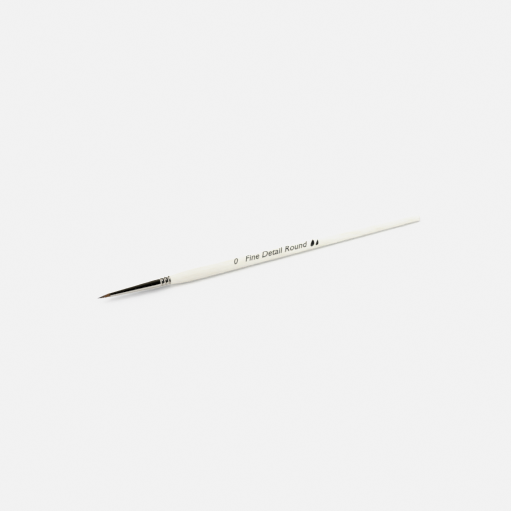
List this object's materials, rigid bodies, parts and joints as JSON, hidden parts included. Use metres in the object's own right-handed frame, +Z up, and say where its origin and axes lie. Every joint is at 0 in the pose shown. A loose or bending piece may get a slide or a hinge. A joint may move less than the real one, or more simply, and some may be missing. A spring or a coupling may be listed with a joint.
{
  "type": "fine detail brush",
  "caption": "Round fine detail brush: pointed hair tuft that bends and springs back, crimped tapered ferrule, and a turned lacquered wooden handle with a slim butt.",
  "frame": {"origin": "on the table under the middle of the brush as it lies on its side", "axes": "+X along the brush from the hair tip to the butt, level; +Z up from the table; the brush's own axis slopes 0.7 degrees down towards the butt"},
  "size_m": [0.178, 0.0064, 0.0066],
  "materials": {
    "handle_lacquer": "turned birch under a thick gloss off-white lacquer, with small dark print on one side",
    "ferrule_plate": "seamless brass tube, polished and nickel plated, with fine draw lines",
    "hair": "soft orange-brown hair, dark at the tips, slightly glossy",
    "thread": "natural cotton binding thread",
    "resin": "cured amber setting resin",
    "wood_glue": "cured wood glue"
  },
  "bodies": {
    "brush": {"handle": "handle_lacquer", "ferrule": "ferrule_plate", "tenon_glue": "wood_glue", "hair_root": "hair", "binding_thread": "thread", "resin_plug": "resin"},
    "tuft": {"hair_tuft": "hair"}
  },
  "joints": [
    {"name": "tuft_bend", "type": "hinge", "parent": "brush", "child": "tuft", "pos_m": [-0.08285, 0, 0.00388], "axis": [0, 1, 0], "range_deg": [-40, 40], "stiffness_Nm_per_rad": 0.0007}
  ]
}
